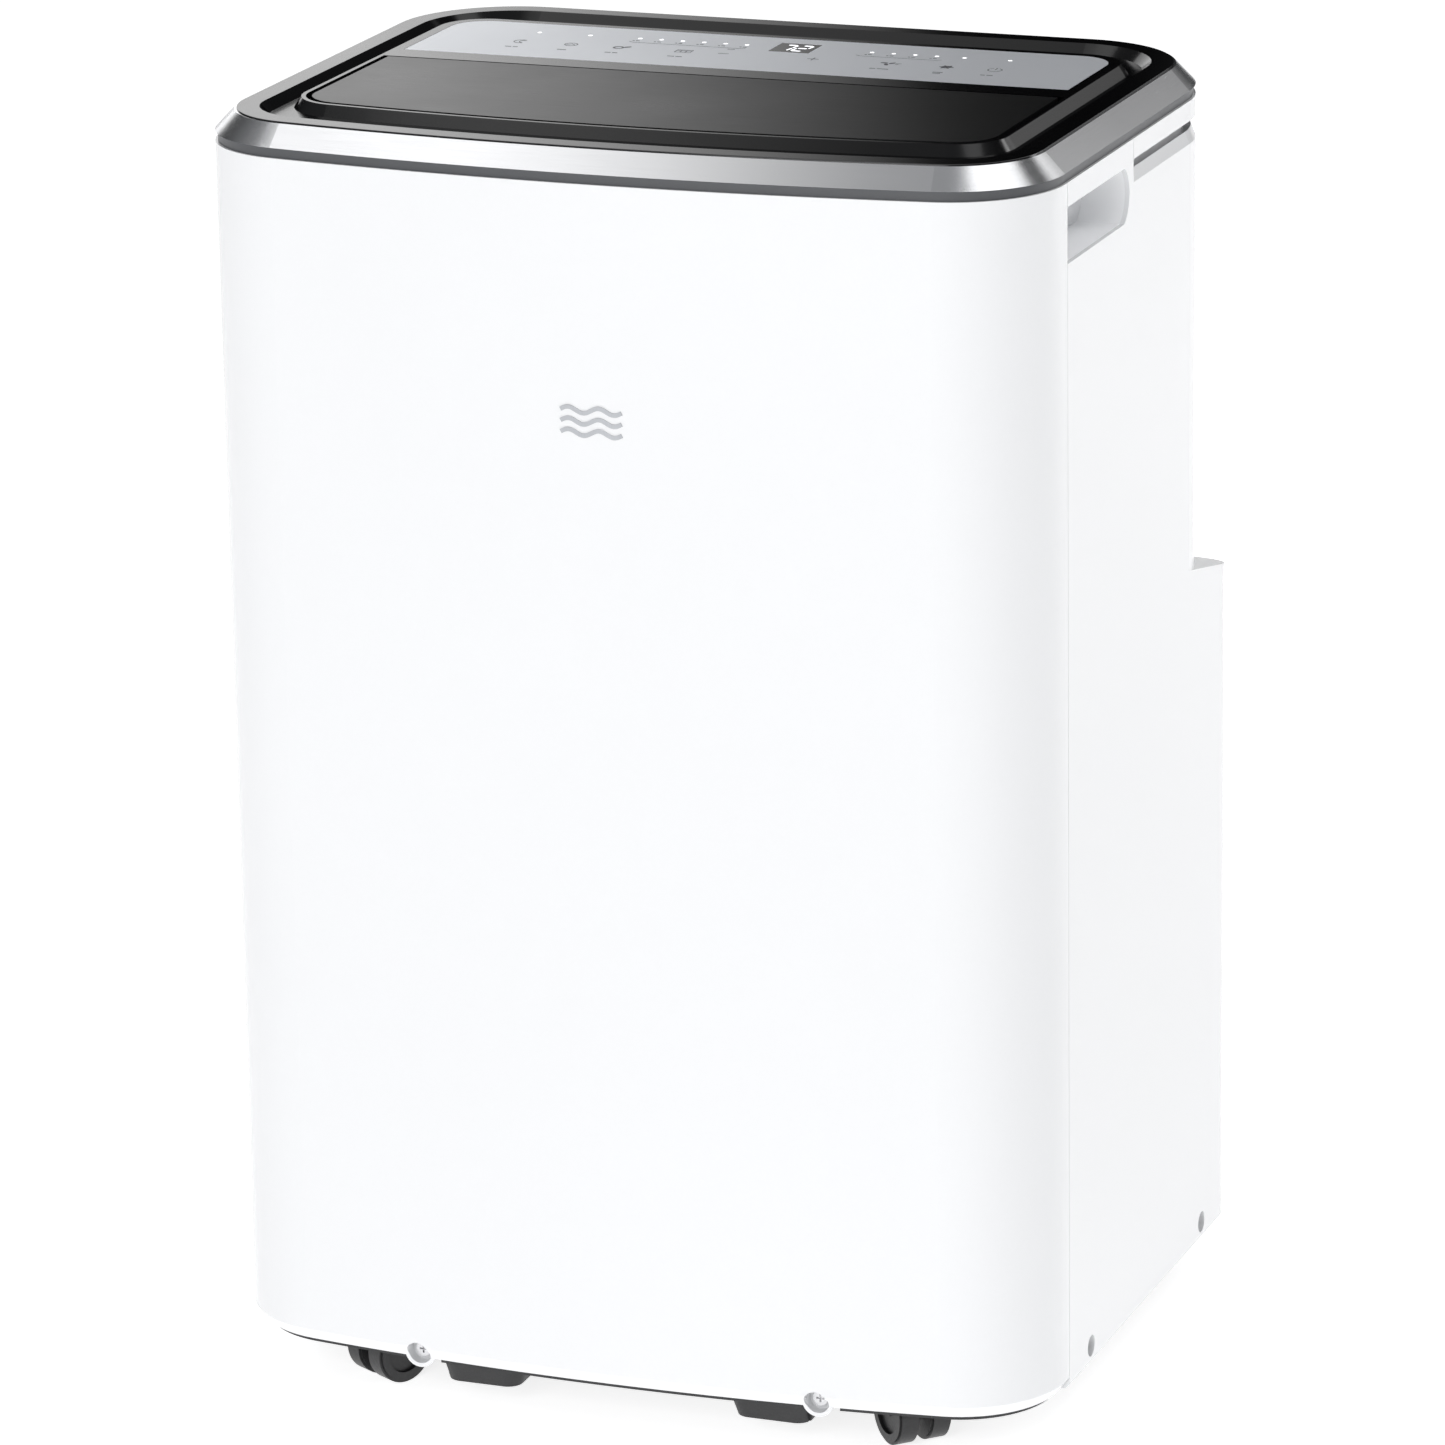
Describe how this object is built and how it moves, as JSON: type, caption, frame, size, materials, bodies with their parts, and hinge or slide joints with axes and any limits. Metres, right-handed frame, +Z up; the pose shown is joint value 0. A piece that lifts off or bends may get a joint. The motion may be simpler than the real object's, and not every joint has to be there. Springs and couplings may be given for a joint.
{
  "type": "portable air conditioner",
  "caption": "Portable air conditioner: white bowed casing, steel bevel, black top with flap and touch panel, casters, side hand pockets, rear intake and exhaust collar",
  "frame": {"origin": "on the floor under the centre of the bounding box", "axes": "+X to the right seen from the front, +Y to the rear, +Z up"},
  "size_m": [0.47, 0.386, 0.71],
  "materials": {
    "white_casing": "glossy white moulding",
    "white_handle": "glossy white moulding",
    "bevel_steel": "brushed along its length",
    "strip_grey": "satin dark grey",
    "cover_black": "high gloss black",
    "flap_anthracite": "satin anthracite",
    "panel_silver": "fine metallic silver",
    "light_lens": "clear white, lit",
    "display_black": "smoked window",
    "board_green": "circuit board",
    "inner_black": "fine textured black",
    "caster_black": "moulded black nylon",
    "wheel_black": "rolled black nylon",
    "fan_grey": "grey moulding",
    "wheel_grey": "dark grey moulding",
    "motor_steel": "plated sheet steel",
    "bright_steel": "plated steel",
    "coil_aluminium": "thin fins on tubes",
    "pipe_copper": "drawn tube",
    "can_black": "black enamel",
    "rubber_black": "soft rubber",
    "filter_grey": "filter frame and net",
    "net_grey": "woven dust net"
  },
  "bodies": {
    "housing": {"front_panel": "white_casing", "side_panel_left": "white_casing", "side_panel_right": "white_casing", "rear_panel_upper": "white_casing", "rear_panel_lower": "white_casing", "top_frame": "white_casing", "handle_cup_left": "white_handle", "handle_cup_right": "white_handle", "steel_trim": "bevel_steel", "trim_gasket": "strip_grey", "top_cover": "cover_black", "control_panel": "panel_silver", "indicator_lenses": "light_lens", "display_window": "display_black", "display_board": "board_green", "outlet_duct": "inner_black", "guide_vanes": "inner_black", "flap_motor": "motor_steel", "base_pan": "inner_black", "exhaust_collar": "fan_grey", "upper_fan_scroll": "fan_grey", "upper_fan_motor": "motor_steel", "lower_fan_scroll": "fan_grey", "lower_fan_motor": "motor_steel", "evaporator_coil": "coil_aluminium", "condenser_coil": "coil_aluminium", "compressor": "can_black", "accumulator": "can_black", "compressor_grommets": "rubber_black", "compressor_bolts": "bright_steel", "refrigerant_pipes": "pipe_copper", "partition_tray": "fan_grey", "control_box": "motor_steel", "control_box_lid": "motor_steel", "control_board": "board_green", "cord_gland": "rubber_black", "slinger_motor": "motor_steel", "housing_screws": "bright_steel"},
    "flap": {"outlet_flap": "flap_anthracite", "flap_pins": "bright_steel"},
    "upper_fan": {"upper_fan_wheel": "wheel_grey", "upper_fan_shaft": "bright_steel"},
    "lower_fan": {"lower_fan_wheel": "wheel_grey", "lower_fan_shaft": "bright_steel"},
    "slinger": {"slinger_wheel": "wheel_grey"},
    "filter_door": {"intake_grille": "white_casing", "filter_frame": "filter_grey", "filter_mesh": "net_grey"},
    "drain_plug_low": {"drain_plug_low": "rubber_black"},
    "drain_plug_high": {"drain_plug_high": "rubber_black"},
    "caster_front_right": {"caster_fork_front_right": "caster_black"},
    "wheels_front_right": {"caster_wheels_front_right": "wheel_black"},
    "caster_front_left": {"caster_fork_front_left": "caster_black"},
    "wheels_front_left": {"caster_wheels_front_left": "wheel_black"},
    "caster_rear_right": {"caster_fork_rear_right": "caster_black"},
    "wheels_rear_right": {"caster_wheels_rear_right": "wheel_black"},
    "caster_rear_left": {"caster_fork_rear_left": "caster_black"},
    "wheels_rear_left": {"caster_wheels_rear_left": "wheel_black"}
  },
  "joints": [
    {"name": "flap_hinge", "type": "hinge", "parent": "housing", "child": "flap", "pos_m": [0, -0.012, 0.692], "axis": [-1, 0, 0], "range_deg": [0, 60]},
    {"name": "upper_fan_spin", "type": "hinge", "parent": "housing", "child": "upper_fan", "pos_m": [0, -0.056, 0.522], "axis": [0, 1, 0], "continuous": true},
    {"name": "lower_fan_spin", "type": "hinge", "parent": "housing", "child": "lower_fan", "pos_m": [0.133, 0.03, 0.276], "axis": [1, 0, 0], "continuous": true},
    {"name": "slinger_spin", "type": "hinge", "parent": "housing", "child": "slinger", "pos_m": [-0.066, 0.129, 0.074], "axis": [0, 1, 0], "continuous": true},
    {"name": "filter_door_pull", "type": "slide", "parent": "housing", "child": "filter_door", "axis": [0, 1, 0], "range_m": [0, 0.12]},
    {"name": "drain_plug_low_pull", "type": "slide", "parent": "housing", "child": "drain_plug_low", "axis": [0, 1, 0], "range_m": [0, 0.04]},
    {"name": "drain_plug_high_pull", "type": "slide", "parent": "housing", "child": "drain_plug_high", "axis": [0, 1, 0], "range_m": [0, 0.04]},
    {"name": "swivel_front_right", "type": "hinge", "parent": "housing", "child": "caster_front_right", "pos_m": [0.145, -0.132, 0.04], "axis": [0, 0, 1], "continuous": true},
    {"name": "roll_front_right", "type": "hinge", "parent": "caster_front_right", "child": "wheels_front_right", "pos_m": [0.15349, -0.14049, 0.018], "axis": [0.7071, 0.7071, 0], "continuous": true},
    {"name": "swivel_front_left", "type": "hinge", "parent": "housing", "child": "caster_front_left", "pos_m": [-0.145, -0.132, 0.04], "axis": [0, 0, 1], "continuous": true},
    {"name": "roll_front_left", "type": "hinge", "parent": "caster_front_left", "child": "wheels_front_left", "pos_m": [-0.151, -0.14239, 0.018], "axis": [0.866, -0.5, 0], "continuous": true},
    {"name": "swivel_rear_right", "type": "hinge", "parent": "housing", "child": "caster_rear_right", "pos_m": [0.15, 0.122, 0.04], "axis": [0, 0, 1], "continuous": true},
    {"name": "roll_rear_right", "type": "hinge", "parent": "caster_rear_right", "child": "wheels_rear_right", "pos_m": [0.1541, 0.11072, 0.018], "axis": [0.9397, 0.342, 0], "continuous": true},
    {"name": "swivel_rear_left", "type": "hinge", "parent": "housing", "child": "caster_rear_left", "pos_m": [-0.15, 0.122, 0.04], "axis": [0, 0, 1], "continuous": true},
    {"name": "roll_rear_left", "type": "hinge", "parent": "caster_rear_left", "child": "wheels_rear_left", "pos_m": [-0.15507, 0.11112, 0.018], "axis": [0.9063, -0.4226, 0], "continuous": true}
  ]
}
